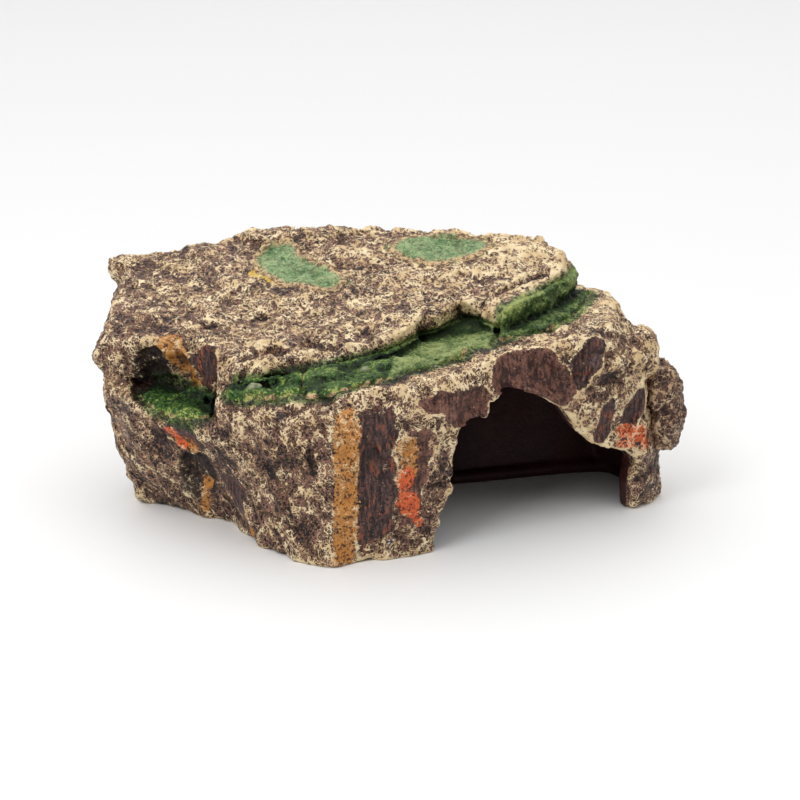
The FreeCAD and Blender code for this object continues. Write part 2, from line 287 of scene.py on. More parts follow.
def ellipsoid(coords, centre, axes, radii, power=2.0):
    x, y, z = (c - F32(m) for c, m in zip(coords, centre))
    total = 0
    for row, r in zip(axes, radii):
        share = np.abs(x * F32(row[0]) + y * F32(row[1]) + z * F32(row[2])) / F32(r)
        total = total + share ** F32(power)
    return (total ** F32(1 / power) - 1) * F32(min(radii))


def scoop_distance(p, at, normal, along, radii, depth, power=2.0):
    """Distance to a dish, ragged at its rim, that faces along normal and is longest along."""
    q = warped(warped(p, 9, 2.0, 29), 3.2, 0.75, 53)
    centre = np.asarray(at, float) + unit(normal) * (radii[2] - depth)
    axes = facet_axes(normal, along)
    return ellipsoid(q.T, centre, axes, radii, power)


def scoop(field, phi, at, normal, along, radii, depth, power=2.0, soft=0.7):
    cut, coords = field.window(at, [max(radii) * 1.3 + 4] * 3)
    part = phi[cut]
    near = np.flatnonzero(np.abs(part.reshape(-1)) < depth + 3)
    x, y, z = (np.broadcast_to(c, part.shape).reshape(-1)[near] for c in coords)
    d = scoop_distance(np.stack([x, y, z], 1), at, normal, along, radii, depth, power)
    carved = part.reshape(-1).copy()
    carved[near] = smax(carved[near], -d, soft)
    phi[cut] = carved.reshape(part.shape)


def lump(field, phi, at, normal, along, radii, soft=3.0):
    centre = np.asarray(at, float)
    axes = facet_axes(normal, along)
    cut, coords = field.window(centre, [max(radii) + 6] * 3)
    d = ellipsoid(coords, centre, axes, radii)
    phi[cut] = smin(phi[cut], d, soft)


def chain_distance(coords, points, radii):
    """Distance to a chain of cones: points with a radius at each."""
    best = None
    pairs = list(zip(points[:-1], points[1:], radii[:-1], radii[1:]))
    if len(points) == 1:
        pairs = [(points[0], points[0], radii[0], radii[0])]
    for a, b, ra, rb in pairs:
        a, b = np.asarray(a, float), np.asarray(b, float)
        ab = b - a
        x, y, z = (c - F32(m) for c, m in zip(coords, a))
        t = (x * F32(ab[0]) + y * F32(ab[1]) + z * F32(ab[2])) / F32(max(ab @ ab, 1e-9))
        t = np.clip(t, 0, 1)
        d = np.sqrt(
            (x - t * F32(ab[0])) ** 2 + (y - t * F32(ab[1])) ** 2 + (z - t * F32(ab[2])) ** 2
        )
        d = d - (F32(ra) + t * F32(rb - ra))
        best = d if best is None else np.minimum(best, d)
    return best


def along_chain(field, points, radii, margin):
    """Slices of the lattice round a chain, and the distances to it there."""
    p = np.asarray(points, float)
    centre, half = (p.min(0) + p.max(0)) / 2, (p.max(0) - p.min(0)) / 2
    cut, coords = field.window(centre, half + max(radii) + margin)
    return cut, chain_distance(coords, points, radii)


def groove(field, phi, points, radii, soft=0.8):
    cut, d = along_chain(field, points, radii, 4)
    phi[cut] = smax(phi[cut], -d, soft)


def settled(field, phi, points):
    """Points moved on to the surface."""
    p = mm(points)
    for _ in range(3):
        step = np.eye(3, dtype=F32)
        slope = [field.sample(phi, p + e) - field.sample(phi, p - e) for e in step]
        slope = np.stack(slope, 1)
        slope /= np.linalg.norm(slope, axis=1, keepdims=True) + F32(1e-6)
        p = p - slope * field.sample(phi, p)[:, None]
    return p.tolist()


def ridge(field, phi, points, radii, soft):
    cut, d = along_chain(field, points, radii, 6)
    phi[cut] = smin(phi[cut], d, soft)


# --- The whole rock ---
MOSS_NODES = {
    # node: (depth over the rock, grain size, grain height, how pale it is)
    "crevice_moss_left": (1.8, 1.5, 1.3, 0.0),
    "crevice_moss_centre": (2.2, 1.6, 1.4, 0.1),
    "terrace_moss": (1.0, 1.2, 0.45, 1.0),
    "riser_moss": (1.8, 1.6, 1.0, 0.3),
    "ledge_moss": (1.6, 1.2, 0.5, 0.0),
    "roof_moss_left": (0.45, 1.0, 0.25, 0.0),
    "roof_moss_right": (0.45, 1.0, 0.25, 0.0),
}
# Pockets in the moss: centre, long axis and radii.
HOLES = [
    ((-51, -50, 76), (1, 0.2, 0.1), (6.0, 4.5, 4.5)),
    ((-59, -52, 76.5), (1, 0, 0), (4.0, 4.0, 4.0)),
    ((-12, -47, 82), (1, 0.3, 0.1), (4.0, 3.5, 3.5)),
]

# Broken facets: place, outward normal, long axis, (half length, half width, dish), depth,
# squareness and paint, where recess_shade is painted shade in the hollow.
SCOOPS = [
    # niche at the left of the front
    ((-106, -16, 69), (-0.1, -0.98, -0.1), (0, 0, 1), (12.5, 8.5, 9), 7.5, 2.0, "recess_shade"),
    ((-94, -17, 68), (-0.4, -0.92, 0), (0.1, 0, 1), (12.5, 7.5, 8), 5.0, 2.0, ""),
    ((-82, -26, 72), (-0.65, -0.75, 0.1), (0.15, 0, 1), (14.5, 9, 9), 3.4, 2.0, "scar"),
    ((-89, -36, 42), (-0.5, -0.82, -0.2), (0.55, -0.3, -0.7), (15, 7.5, 8), 2.2, 2.0, "scar"),
    # left foot, under the lip
    ((-88, -29, 22), (-0.5, -0.85, -0.1), (0.3, 0, 1), (18, 11, 12), 5.6, 2.0, "recess_shade"),
    ((-71, -43, 13), (-0.55, -0.83, 0), (0.1, 0, 1), (17, 8.5, 9), 3.0, 3.0, "scar"),
    # front pillar
    ((-6.5, -71, 38), (0.15, -0.99, 0), (0, 0, 1), (34.5, 8.8, 14), 1.9, 5.0, "scar"),
    ((9, -66, 33), (0.35, -0.93, 0), (0.1, 0, 1), (28, 8, 14), 1.0, 3.0, "rust"),
    ((20, -63, 70), (0.4, -0.85, 0.3), (1, 0.4, -0.2), (10, 3.5, 5), 1.2, 2.0, "rust"),
    # lintel over the mouth
    ((33, -55, 66), (0.5, -0.86, -0.1), (0.8, 0.5, -0.2), (11.5, 10, 12), 3.0, 3.0, "rust"),
    ((58, -40, 76), (0.4, -0.88, 0.1), (0.9, 0.35, 0), (14.5, 11, 10), 5.6, 3.0, "rust"),
    ((73, -36, 70), (0.1, -0.95, -0.1), (0.5, 0, -1), (13, 8, 9), 3.6, 2.0, "rust"),
    ((87, -31, 79), (-0.05, -0.93, 0.3), (0.45, 0.1, 1), (14, 7, 9), 4.6, 2.0, "scar"),
    # right shoulder
    ((100, -27, 67), (0.45, -0.85, 0.1), (1, 0.3, 0.15), (13, 11, 12), 3.6, 2.0, ""),
    ((108, -18, 49), (0.45, -0.88, 0), (0.5, 0.25, 1), (16, 6.5, 8), 3.0, 2.0, "scar"),
    ((96, -26, 49), (0.35, -0.92, -0.1), (0.3, 0, 1), (11, 4.5, 6), 2.2, 2.0, "scar"),
    ((118, -10, 62), (0.8, -0.5, 0.2), (0.5, 0.8, 0), (9, 8, 8), 2.2, 2.0, ""),
]
# Dishes in the roof, laid on it: place, outward normal, long axis, radii and depth.
ROOF_DISHES = [
    # crescent and oval hollows
    ((-58, 46, 105), (-0.06, -0.27, 0.96), (0.3, 1, 0.25), (14, 9, 10), 1.0),
    ((-38, 28, 102), (-0.06, -0.27, 0.96), (1, -0.6, -0.1), (19, 8, 10), 1.0),
    ((22, 45, 110), (-0.06, -0.27, 0.96), (1, 0.1, 0.1), (27, 14, 22), 0.7),
    # pits behind the front edge
    ((-63, -34, 83), (0, -0.3, 0.95), (1, 0, 0), (6, 4, 5), 2.2),
    ((-50, -33, 84), (0, -0.3, 0.95), (1, 0.3, 0), (7, 5, 5), 2.6),
    ((-38, -29, 85), (0, -0.3, 0.95), (1, 0.4, 0), (6, 4, 5), 2.4),
    ((-27, -30, 86), (0, -0.4, 0.9), (1, 0, 0), (7, 4, 5), 2.6),
    ((-13, -22, 90), (0, -0.3, 0.95), (1, 0.5, 0), (8, 4, 5), 2.0),
    ((40, -3, 97), (0.1, -0.3, 0.95), (1, -0.6, 0), (9, 5, 6), 2.0),
    ((-100, 10, 92), (0, -0.3, 0.95), (1, 0.5, 0), (16, 9, 14), 1.6),
    ((-85, -8, 88), (0, -0.3, 0.95), (1, 0.2, 0), (12, 7, 12), 1.6),
    ((-60, -8, 93), (0, -0.3, 0.95), (1, 0.4, 0), (10, 6, 10), 1.4),
]
# Cracks and deep gaps: points and radii.
GROOVES = [
    ([(46, 3, 100), (56, 10, 102.5), (64, 17, 104.5), (74, 19, 106)], [1.3, 2.6, 2.4, 1.0]),
    ([(8, 13, 100), (16, 17, 102), (23, 22, 103.5)], [0.8, 1.5, 0.7]),
    ([(-36, 22, 100), (-20, 25, 102), (-6, 33, 105), (0, 29, 104.5)], [0.7, 1.3, 1.2, 0.6]),
    ([(-62, -56, 49), (-55, -63, 42), (-48, -67, 30), (-44, -70, 20)], [1.2, 2.2, 1.8, 0.8]),
    ([(121, -12, 54), (121, -12, 44), (122, -11, 37)], [1.4, 2.8, 1.6]),
    ([(96, -27, 86), (96, -27, 80), (95, -29, 76)], [1.6, 3.0, 1.6]),
    ([(-60, -47, 72), (-53, -45, 73), (-47, -44, 74)], [3.4, 4.6, 3.0]),
    ([(-14, -42, 79), (-9, -38, 80)], [2.4, 2.8]),
    ([(0, -44, 79), (6, -40, 80)], [1.8, 1.6]),
    ([(-41, -71, 60), (-36, -72, 52), (-34, -74, 44)], [1.0, 1.8, 1.0]),
    ([(-31, -72, 66), (-28, -73, 58)], [1.6, 1.0]),
]
# Bulges: centre, outward normal, long axis, radii.
LUMPS = [
    ((-128, 55, 97), (-0.3, 0.4, 0.8), (1, 0, 0), (7, 7, 7)),
    ((-45, 66, 109), (0, 0.2, 1), (1, 0, 0), (28, 9, 6)),
    ((-22, 44, 104), (0, -0.27, 0.96), (1, 0.2, 0), (15, 9, 5)),
    ((-112, 0, 14), (-0.6, -0.7, 0), (0, 0, 1), (17, 9, 8)),
    ((-86, -36, 50), (-0.5, -0.8, 0.3), (1, -0.6, -0.1), (20, 6, 5)),
    ((-44, -63, 56), (-0.3, -0.9, 0.3), (1, 0, 0), (14, 10, 6)),
    ((15, -61, 66), (0.4, -0.85, 0.3), (1, 0.4, 0), (12, 7, 5)),
    ((114, 0, 74), (0.8, -0.3, 0.4), (0, 1, 0), (14, 10, 7)),
]
# Knobs along the slab's front lower edge, over the crevice: place and half length.
KNOBS = [
    ((-41, -48, 80), 7.0), ((-27, -46, 82), 5.0), ((-3, -42, 85), 6.0), ((10, -40, 86), 8.0),
    ((27, -35, 90), 6.0),
]
# The casting's rolled lip along the foot of the rear wall, inside the cave: places in plan.
LIP = [(30, 24), (42, 27), (57, 31), (72, 36), (87, 40), (101, 41.5), (108, 39), (112, 31)]
LIP_RADII = [3.0, 3.4, 3.0, 3.4, 3.8, 3.6, 3.6, 3.2]
LIP_HEIGHT = 2.4
# Dabs of paint: points and radii.
DABS = {
    "ochre": [
        ([(-99, -19, 82), (-94, -18, 70), (-88, -18, 58)], [7.0, 6.5, 4.5]),
        ([(-19, -74, 66), (-19, -75, 30), (-20, -76, 2)], [5.4, 5.2, 5.4]),
        ([(-82, -25, 20), (-85, -21, 6)], [3, 2.4]),
        ([(-63, -48, 14), (-62, -47, 3)], [2, 2]),
        ([(7, -67, 52), (8, -67, 40)], [4.5, 4.0]),
        ([(-100, -29, 52), (-92, -32, 44), (-84, -38, 34)], [3, 2, 2]),
    ],
    "orange": [
        ([(-97, -31, 48), (-93, -33, 40)], [4.0, 3.2]),
        ([(6, -67, 37)], [5.0]),
        ([(7, -66, 26), (9, -66, 22)], [5.5, 4]),
        ([(12, -65, 17), (12, -65, 13)], [2.6, 2]),
        ([(104, -19, 42), (112, -14, 40), (115, -11, 33)], [3.6, 3.8, 3.0]),
        ([(103, -20, 36), (108, -17, 35)], [2.4, 2.4]),
    ],
    "yellow": [
        ([(-63, 33, 101), (-54, 29, 101)], [4, 5]),
    ],
    "bare": [
        ([(0, -70, 9), (5, -69, 9)], [3.0, 2.6]),
    ],
}
DAB_BLUR = 2.2  # mm either side of a dab's edge
# Where the dry brush has caught more or less: centre, reach and amount.
TONES = [
    ((12, -66, 28), 25, -0.17),
    ((119, -10, 12), 26, -0.20),
    ((-60, -58, 22), 32, -0.06),
    ((-88, -30, 25), 22, -0.07),
    ((60, 20, 104), 55, 0.07),
    ((96, -22, 84), 32, -0.11),
    ((92, -28, 55), 18, -0.08),
    ((-42, -66, 42), 28, -0.07),
]

field = Field(LOW, HIGH, STEP)
wall = field.from_node("wall_shell")
slab = field.from_node("roof_slab")
phi = np.minimum(wall, slab)
owner = (wall - slab) / 2  # negative where the rock is the walls', positive where the slab's
del wall, slab
phi = softened(phi, EDGE_ROUNDING)
AIR_CELL = 2.2  # mm, of the coarse lattice that finds the cave's air
JAMBS = (21, -59), (112, -13)  # the mouth's two feet, seen from above


def cave_inside(field, phi):
    """1 in the cave and 0 outside, on a coarse lattice: what air reaches with the mouth shut."""
    stride = max(1, int(round(AIR_CELL / field.step)))
    coarse = Field(LOW, HIGH, field.step * stride)
    open_air = phi[::stride, ::stride, ::stride] > 0
    coarse.shape = open_air.shape
    x, y, z = np.meshgrid(*coarse.axes(), indexing="ij", sparse=True)
    (lx, ly), (rx, ry) = JAMBS
    length = math.hypot(rx - lx, ry - ly)
    out = ((x - lx) * (ry - ly) - (y - ly) * (rx - lx)) / length  # distance in front of the mouth
    shut = (np.abs(out + 2) < field.step * stride * 1.1) & (x > 10) & (x < 118) & (z < 80)
    passable = open_air & ~shut & (z > 1)
    reached = np.zeros_like(passable)
    reached[0], reached[-1] = passable[0], passable[-1]
    reached[:, 0], reached[:, -1] = passable[:, 0], passable[:, -1]
    reached[:, :, -1] = passable[:, :, -1]
    while True:
        grown = reached.copy()
        for axis in range(3):
            a = [slice(None)] * 3
            b = [slice(None)] * 3
            a[axis], b[axis] = slice(1, None), slice(None, -1)
            grown[tuple(a)] |= reached[tuple(b)]
            grown[tuple(b)] |= reached[tuple(a)]
        grown &= passable
        if (grown == reached).all():
            break
        reached = grown
    inside = passable & ~reached
    low = int(np.searchsorted(z.ravel(), 4.0))
    inside[:, :, :low] = inside[:, :, low : low + 1]
    return coarse, blurred(inside.astype(F32), 2)


coarse, cave = cave_inside(field, phi)


def inner_share(points):
    """About 1 on the cave's own surface, 0 on the rock's."""
    return smooth(0.12, 0.34, coarse.sample(cave, points))


SCOOPS += [(settled(field, phi, [at])[0], *rest, 2.0, "") for at, *rest in ROOF_DISHES]
for at, normal, along, radii, depth, power, _ in SCOOPS:
    scoop(field, phi, at, normal, along, radii, depth, power)
for points, radii in GROOVES:
    groove(field, phi, settled(field, phi, points) if max(radii) < 3 else points, radii)
for centre, normal, along, radii in LUMPS:
    lump(field, phi, centre, normal, along, radii)
for place, length in KNOBS:
    (centre,) = settled(field, phi, [place])
    lump(field, phi, centre, (0, -0.8, 0.6), (1, 0.2, 0.1), (length, 3.6, 3.2))
ridge(field, phi, [(x, y, LIP_HEIGHT) for x, y in LIP], LIP_RADII, 1.5)


def scoop_mask(p, paint, margin=0.5):
    """1 in the scoops of a paint or of the painted shade, at points on the rock."""
    out = np.zeros(len(p), F32)
    for at, normal, along, radii, depth, power, kind in SCOOPS:
        if kind != paint:
            continue
        near = np.flatnonzero((np.abs(p - mm(at)) < max(radii) + 4).all(1))
        q = p[near]
        d = scoop_distance(q, at, normal, along, radii, depth, power)
        out[near] = np.maximum(out[near], 1 - smooth(margin - 0.6, margin + 1.8, d))
    return out


def dab_mask(p, paint):
    """1 in the dabs of a paint, at points on the rock."""
    out = np.zeros(len(p), F32)
    for points, radii in DABS[paint]:
        d = chain_distance(p.T, points, radii)
        out = np.maximum(out, 1 - smooth(-DAB_BLUR, DAB_BLUR, d))
    return out


def facets(p, size, seed, tilt):
    """Flat flakes: each cell of space is shifted along its own random slope, in mm."""
    i, f = _cell(p, size)
    best, second = np.full(len(p), 9, F32), np.full(len(p), 9, F32)
    height, beside = np.zeros(len(p), F32), np.zeros(len(p), F32)
    for step in NEIGHBOURS:
        h = _hash(i, step, seed)
        away = f - _JITTER[h] - mm(step)
        d = (away * away).sum(1)
        slope = (away * _GRAD[h]).sum(1)
        closer = d < best
        between = ~closer & (d < second)
        beside = np.where(closer, height, np.where(between, slope, beside))
        second = np.where(closer, best, np.where(between, d, second))
        height = np.where(closer, slope, height)
        best = np.where(closer, d, best)
    share = F32(0.5) * (1 - smooth(0, 0.16, np.sqrt(second) - np.sqrt(best)))
    return (height * (1 - share) + beside * share) * F32(size * tilt)


# Roughness in the lattice: broad lumps, then flakes with sharp steps, calmer on broken facets.
index = np.flatnonzero(np.abs(phi.reshape(-1)) < 3.2)
p = field.points(index)
inner = inner_share(p)
cut = np.maximum(scoop_mask(p, "scar", 1.5), scoop_mask(p, "rust", 1.5))
amount = (1 - inner) * (1 - F32(0.45) * cut)
keep = amount > 0.02
q = warped(p[keep], 14, 2.6, 5)
rough = fbm(q, 24, 2, 11) * F32(0.9)
rough += facets(q, 15, 61, 0.13) + facets(q, 7.5, 19, 0.11)
rough += F32(1.2) * (ridged(q, 8, 2, 57) - F32(0.74))
raised = noise(p, 30, 91) * F32(0.7) * inner
raised[keep] += rough * amount[keep]
flat = phi.reshape(-1)
flat[index] -= raised
flat[:] = np.maximum(flat, -np.broadcast_to(field.axes()[2], field.shape).reshape(-1))
del index, p, inner, cut, amount, keep, q, rough, raised
phi = (phi + blurred(phi, 1, 1)) / 2
near_blur, wide_blur = softened(phi, NEAR), softened(phi, WIDE)


# --- Meshes ---
def largest(points, faces):
    """Only the mesh's largest connected piece."""
    label = np.arange(len(points))
    a = np.concatenate([faces[:, 0], faces[:, 1]])
    b = np.concatenate([faces[:, 1], faces[:, 2]])
    while True:
        low = np.minimum(label[a], label[b])
        if (label[a] == label[b]).all():
            break
        np.minimum.at(label, label[a], low)
        np.minimum.at(label, label[b], low)
        while (label[label] != label).any():
            label = label[label]
    biggest = np.bincount(label[faces[:, 0]]).argmax()
    return packed(points, faces[label[faces[:, 0]] == biggest])


def packed(points, faces):
    used, new = np.unique(faces, return_inverse=True)
    return points[used], new.reshape(-1, 3)


def normals(points, faces):
    a, b, c = (points[faces[:, k]] for k in range(3))
    n = np.cross(b - a, c - a)
    out = np.stack(
        [
            np.bincount(faces.ravel(), np.repeat(n[:, k], 3), len(points))
            for k in range(3)
        ],
        1,
    )
    return (out / (np.linalg.norm(out, axis=1, keepdims=True) + 1e-12)).astype(F32)


def blender_mesh(name, points, faces):
    mesh = bpy.data.meshes.new(name)
    mesh.vertices.add(len(points))
    mesh.vertices.foreach_set("co", np.ascontiguousarray(points, F32).ravel())
    mesh.loops.add(faces.size)
    mesh.loops.foreach_set("vertex_index", faces.astype(np.int32).ravel())
    mesh.polygons.add(len(faces))
    mesh.polygons.foreach_set("loop_start", np.arange(0, faces.size, 3, dtype=np.int32))
    mesh.update(calc_edges=True)
    return mesh


def thinned(points, faces, count):
    """About count triangles, collapsed evenly over the mesh."""
    if len(faces) <= count:
        return points, faces
    mesh = blender_mesh("thin", points, faces)
    obj = bpy.data.objects.new("thin", mesh)
    bpy.context.scene.collection.objects.link(obj)
    thin = obj.modifiers.new("thin", "DECIMATE")
    thin.ratio = count / len(faces)
    depsgraph = bpy.context.evaluated_depsgraph_get()
    out = mesh_arrays(obj.evaluated_get(depsgraph).to_mesh())
    bpy.data.objects.remove(obj)
    bpy.data.meshes.remove(mesh)
    return out


def plan_cap(seam, edges):
    """Triangles, facing up, that fill closed loops of edges seen from above."""
    flat_points = [Vector(p) for p in seam[:, :2].tolist()]
    verts, _, tris, origin, _, _ = delaunay_2d_cdt(flat_points, edges.tolist(), [], 0, 1e-7)
    if len(verts) != len(seam):
        print("the seam crosses itself", len(verts) - len(seam), flush=True)
    source = np.array([o[0] if o else -1 for o in origin])
    walls_between = {tuple(e) for e in np.sort(edges, 1).tolist()}

    def sides_of(tri):
        return [tuple(sorted((tri[k], tri[(k + 1) % 3]))) for k in range(3)]

    beside = {}
    for t, tri in enumerate(tris):
        for e in sides_of(tri):
            beside.setdefault(e, []).append(t)

    def is_wall(e):
        u, v = source[e[0]], source[e[1]]
        return (min(u, v), max(u, v)) in walls_between

    state = [None] * len(tris)
    queue = []
    for e, sides in beside.items():
        if len(sides) == 1 and state[sides[0]] is None:
            state[sides[0]] = is_wall(e)
            queue.append(sides[0])
    while queue:
        t = queue.pop()
        for e in sides_of(tris[t]):
            for other in beside[e]:
                if state[other] is None:
                    state[other] = state[t] != is_wall(e)
                    queue.append(other)
    cap = source[np.array([tri for tri, inside in zip(tris, state) if inside])]
    a, b, c = (seam[cap[:, k]] for k in range(3))
    up = np.cross(b - a, c - a)[:, 2] > 0
    return np.where(up[:, None], cap, cap[:, ::-1])


CLEAR = 0.12  # mm that the cut keeps from every vertex
SEAM_PASSES = 2


def relaxed(seam, edges):
    """Seam points moved half way to the middle of their two neighbours."""
    middle = np.zeros_like(seam)
    np.add.at(middle, edges[:, 0], seam[edges[:, 1]] / 2)
    np.add.at(middle, edges[:, 1], seam[edges[:, 0]] / 2)
    return (seam + middle) / 2


def split(points, faces, side):
    """Both halves of a closed mesh, cut where side is nought and capped there."""
    side = np.where(np.abs(side) < CLEAR, np.copysign(CLEAR, side), side)
    over = side[faces] > 0
    count = over.sum(1)
    whole_low, whole_high = faces[count == 0], faces[count == 3]
    crossed = np.flatnonzero((count == 1) | (count == 2))
    f, o = faces[crossed], over[crossed]
    lone = np.where(count[crossed] == 1, o.argmax(1), (~o).argmax(1))
    rows = np.arange(len(f))
    a, b, c = (f[rows, (lone + k) % 3] for k in range(3))

    def key(u, v):
        return np.minimum(u, v) * len(points) + np.maximum(u, v)

    keys, new = np.unique(np.concatenate([key(a, b), key(a, c)]), return_inverse=True)
    u, v = keys // len(points), keys % len(points)
    t = (side[u] / (side[u] - side[v]))[:, None].astype(F32)
    seam = points[u] + (points[v] - points[u]) * t
    seam_edges = np.stack([new[: len(f)], new[len(f) :]], 1)
    for _ in range(SEAM_PASSES):
        seam = relaxed(seam, seam_edges)
    all_points = np.concatenate([points, seam])
    ab, ac = len(points) + new[: len(f)], len(points) + new[len(f) :]
    tips = np.stack([a, ab, ac], 1)
    rest = np.concatenate([np.stack([ab, b, c], 1), np.stack([ab, c, ac], 1)])
    tip_high = count[crossed] == 1
    twice = np.concatenate([tip_high, tip_high])

    cap = len(points) + plan_cap(seam, seam_edges)
    low = np.concatenate([whole_low, tips[~tip_high], rest[twice], cap])
    high = np.concatenate([whole_high, tips[tip_high], rest[~twice], cap[:, ::-1]])
    out = []
    for half in (low, high):
        used, renumbered = np.unique(half, return_inverse=True)
        out.append((all_points[used], renumbered.reshape(-1, 3), used >= len(points)))
    return out


def open_edges(faces):
    """How many edges don't have exactly two faces."""
    e = np.sort(np.concatenate([faces[:, [0, 1]], faces[:, [1, 2]], faces[:, [2, 0]]]), 1)
    _, counts = np.unique(e[:, 0] * (faces.max() + 1) + e[:, 1], return_counts=True)
    return int((counts != 2).sum())


STREAK = unit((0.60, -0.1, -0.79))


def relief(p):
    """The fine net of ridges over the rock, 0 in its pits and 1 on its crests."""

    def net(q, seed):
        q = warped(q, 4.2, 1.4, seed)
        f1, f2 = cells(q, 3.7, seed)
        border = 1 - smooth(0.04, 0.36, f2 - f1)
        vein = smooth(0.55, 0.97, ridged(q, 4.2, 2, seed + 9))
        return np.clip(F32(0.40) * border + F32(0.85) * vein, 0, 1)

    out = net(p, 31)
    low_left = smooth(62, 48, p[:, 2]) * smooth(-22, -34, p[:, 0]) * smooth(20, 0, p[:, 1])
    some = np.flatnonzero(low_left > 0.02)
    q = p[some]
    along = (q @ mm(STREAK))[:, None] * mm(STREAK)
    w = low_left[some]
    out[some] = out[some] * (1 - w) + w * net(q - F32(0.62) * along, 77)
    return out


class Pad:
    """A moss node: distances round it, and how far in a point is from its outline in plan."""

    REACH = 12  # mm

    def __init__(self, name):
        corners, _ = node_mesh(name)
        self.low, self.high = corners.min(0) - self.REACH, corners.max(0) + self.REACH
        self.local = Field(self.low - 1, self.high + 1, 0.8)
        self.distance = self.local.from_node(name, self.REACH + 2)
        plan = (self.distance.min(2, keepdims=True) < 0).astype(F32)
        radius = 3 if name.startswith("roof") else 1
        share = blurred(np.broadcast_to(plan, plan.shape[:2] + (3,)), 3, radius)
        self.share = np.ascontiguousarray(np.broadcast_to(share[:, :, :1], self.distance.shape))

    def at(self, p):
        """Distance, at most REACH, and the share of the plan, 0.5 at the outline."""
        d, share = np.full(len(p), self.REACH, F32), np.zeros(len(p), F32)
        near = np.flatnonzero(((p > self.low) & (p < self.high)).all(1))
        d[near] = np.minimum(self.local.sample(self.distance, p[near]), self.REACH)
        share[near] = self.local.sample(self.share, p[near])
        return d, share


PADS = {name: Pad(name) for name in MOSS_NODES}


def moss_cover(p):
    """Share of moss over the rock, and the wider green stain round it."""
    cover, stain = np.zeros(len(p), F32), np.zeros(len(p), F32)
    for name, pad in PADS.items():
        d, share = pad.at(p)
        near = 1 - smooth(3, 5, d)
        cover = np.maximum(cover, near * smooth(0.3, 0.7, share))
        reach = 5 if name.startswith("roof") else 9
        stain = np.maximum(stain, (1 - smooth(0, reach, d)) * (0.8 if reach == 5 else 1.0))
    return cover, stain


def show(name, points, faces, node, slot, seam=None, **values):
    """A piece of the model, with its paint masks as values at the vertices."""
    mesh = blender_mesh(name, points / 1000, faces)
    mesh.polygons.foreach_set("use_smooth", np.ones(len(faces), bool))
    if seam is not None:
        ends = np.empty(len(mesh.edges) * 2, np.int32)
        mesh.edges.foreach_get("vertices", ends)
        sharp = seam[ends.reshape(-1, 2)].all(1)
        mesh.edges.foreach_set("use_edge_sharp", sharp)
    obj = bpy.data.objects.new(name, mesh)
    bpy.context.scene.collection.objects.link(obj)
    mesh.materials.append(MATERIALS[slot])
    for mask, v in values.items():
        mesh.attributes.new(mask, "FLOAT", "POINT").data.foreach_set(
            "value", np.ascontiguousarray(v, F32)
        )
    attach(obj, "root")
    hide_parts(node)
    print(name, len(faces), "triangles,", open_edges(faces), "open edges", flush=True)
    return obj


def rock_values(points, faces):
    """Every paint mask of the rock, at its vertices, with its painted shade and painted top light.
    """
    out = normals(points, faces)
    inner = inner_share(points)
    cover, stain = moss_cover(points)
    here = field.sample(phi, points)
    # partly the dry brush's catch and partly painted light: more cream on upward faces, and on
    # upward faces at the right, as if lit from above; less cream towards the bottom; and the TONES
    # below
    brush_and_top_light = F32(0.07) * np.clip(out[:, 2], -0.5, 1) + F32(0.0012) * (points[:, 2] - 45)
    right_top = F32(0.05) * smooth(0, 60, points[:, 0]) * (out[:, 2] > 0.5)
    brush_and_top_light += F32(0.0006) * points[:, 0] + right_top
    for centre, reach, amount in TONES:
        away = np.linalg.norm(points - mm(centre), axis=1)
        brush_and_top_light += F32(amount) * (1 - smooth(0.3 * reach, reach, away))
    return dict(
        net=relief(points),
        wear=np.clip((field.sample(near_blur, points) - here) / F32(0.35), -1, 1),
        shade=np.clip((field.sample(wide_blur, points) - here) / F32(DEEP), -1, 1),
        brush_and_top_light=brush_and_top_light,
        inner=inner,
        cover=cover,
        stain=stain * (1 - inner),
        scar=scoop_mask(points, "scar"),
        rust=scoop_mask(points, "rust"),
        recess_shade=scoop_mask(points, "recess_shade", 1.5),
        **{paint: dab_mask(points, paint) for paint in DABS},
    )


# --- Finishes ---
def srgb(r, g, b):
    """An sRGB colour, 0 to 255, in linear light."""
    return tuple(
        c / 255 / 12.92 if c <= 10 else ((c / 255 + 0.055) / 1.055) ** 2.4 for c in (r, g, b)
    ) + (1.0,)


SPECULAR = 0.25  # matt paint


